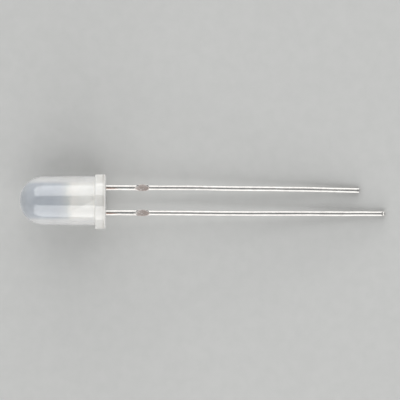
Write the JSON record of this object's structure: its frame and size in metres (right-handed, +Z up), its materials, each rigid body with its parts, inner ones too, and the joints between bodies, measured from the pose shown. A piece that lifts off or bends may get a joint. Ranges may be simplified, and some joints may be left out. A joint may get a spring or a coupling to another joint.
{
  "type": "through hole led",
  "caption": "Through hole light emitting diode: milky domed lens with a flatted flange and two long tinned leads, lying on its side as it comes to rest.",
  "frame": {"origin": "centre of the seating face, the flat underside of the flange from which the leads leave", "axes": "the leads run towards +X and the dome points towards -X, with the shorter cathode lead and the flat of the flange on the +Y side. +Z is up, and the lens axis is tilted 5.6 degrees with the dome raised, because the part lies on the rim of its flange and the ends of its leads"},
  "size_m": [0.0368, 0.0057, 0.006],
  "materials": {
    "milky_epoxy": "cast epoxy with a white diffuser, glossy",
    "tinned_steel": "stamped steel with a bright coat of tin",
    "chip": "sawn semiconductor crystal",
    "silver_glue": "silver filled glue",
    "gold_wire": "drawn gold wire"
  },
  "bodies": {
    "root": {"epoxy_body": "milky_epoxy", "cathode_lead": "tinned_steel", "anode_lead": "tinned_steel", "led_die": "chip", "die_attach": "silver_glue", "bond_wire": "gold_wire"}
  },
  "joints": []
}
